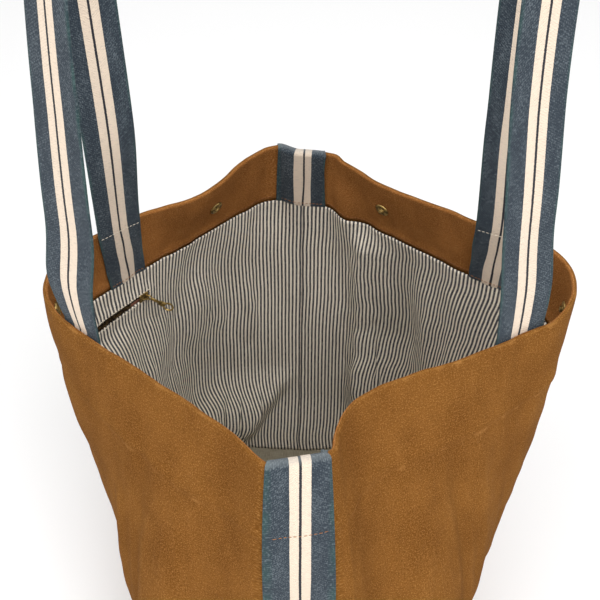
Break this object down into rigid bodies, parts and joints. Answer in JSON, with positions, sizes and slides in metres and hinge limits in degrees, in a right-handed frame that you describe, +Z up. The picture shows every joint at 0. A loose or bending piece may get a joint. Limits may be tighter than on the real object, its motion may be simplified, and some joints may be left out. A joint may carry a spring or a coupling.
{
  "type": "mail bag",
  "caption": "Open-mouthed canvas tote-style mail bag with a boxed base, striped lining, webbing handles and seam strips, inner zip pocket and press snaps",
  "frame": {"origin": "middle of the base, on the surface that the bag stands on", "axes": "+Z up, +Y along the base from the front gusset seam to the rear one, +X towards the right wide panel"},
  "size_m": [0.3668, 0.383, 0.6748],
  "materials": {
    "canvas": "washed waxed cotton canvas, matt",
    "facing": "washed waxed cotton canvas, matt, darker inside",
    "ticking": "woven ticking, cream and dark blue stripes",
    "base_cloth": "plain unbleached cotton",
    "webbing": "woven cotton webbing, slate blue with two cream stripes",
    "zip_tape": "woven cotton tape",
    "zip_metal": "dark antique brass",
    "old_brass": "antique brass, worn at the edges"
  },
  "bodies": {
    "bag": {"shell_left": "canvas", "shell_right": "canvas", "shell_base": "canvas", "front_strip": "webbing", "rear_strip": "webbing", "facing_left": "facing", "facing_right": "facing", "lining_left": "ticking", "lining_right": "ticking", "lining_base": "base_cloth", "left_handle_ends": "webbing", "right_handle_ends": "webbing", "pocket_bag": "base_cloth", "zip_tape_upper": "zip_tape", "zip_tape_lower": "zip_tape", "zip_teeth_upper": "zip_metal", "zip_teeth_lower": "zip_metal", "zip_stops": "zip_metal", "snap_sockets": "old_brass", "snap_socket_backs": "old_brass", "snap_studs": "old_brass", "snap_stud_backs": "old_brass"},
    "left_handle": {"left_handle": "webbing"},
    "right_handle": {"right_handle": "webbing"},
    "zip_slider": {"slider_body": "old_brass", "slider_bridge": "old_brass"},
    "zip_pull": {"pull_tab": "old_brass"}
  },
  "joints": [
    {"name": "left_handle_flop", "type": "hinge", "parent": "bag", "child": "left_handle", "pos_m": [-0.1418, 0, 0.404], "axis": [0, 1, 0], "range_deg": [-100, 20]},
    {"name": "right_handle_flop", "type": "hinge", "parent": "bag", "child": "right_handle", "pos_m": [0.1418, 0, 0.404], "axis": [0, -1, 0], "range_deg": [-100, 20]},
    {"name": "zip_travel", "type": "slide", "parent": "bag", "child": "zip_slider", "axis": [-0.6115, -0.7913, 0], "range_m": [0, 0.04]},
    {"name": "pull_tab_lift", "type": "hinge", "parent": "zip_slider", "child": "zip_pull", "pos_m": [-0.12819, 0.08038, 0.293], "axis": [0, 0, -1], "range_deg": [-60, 30]}
  ]
}
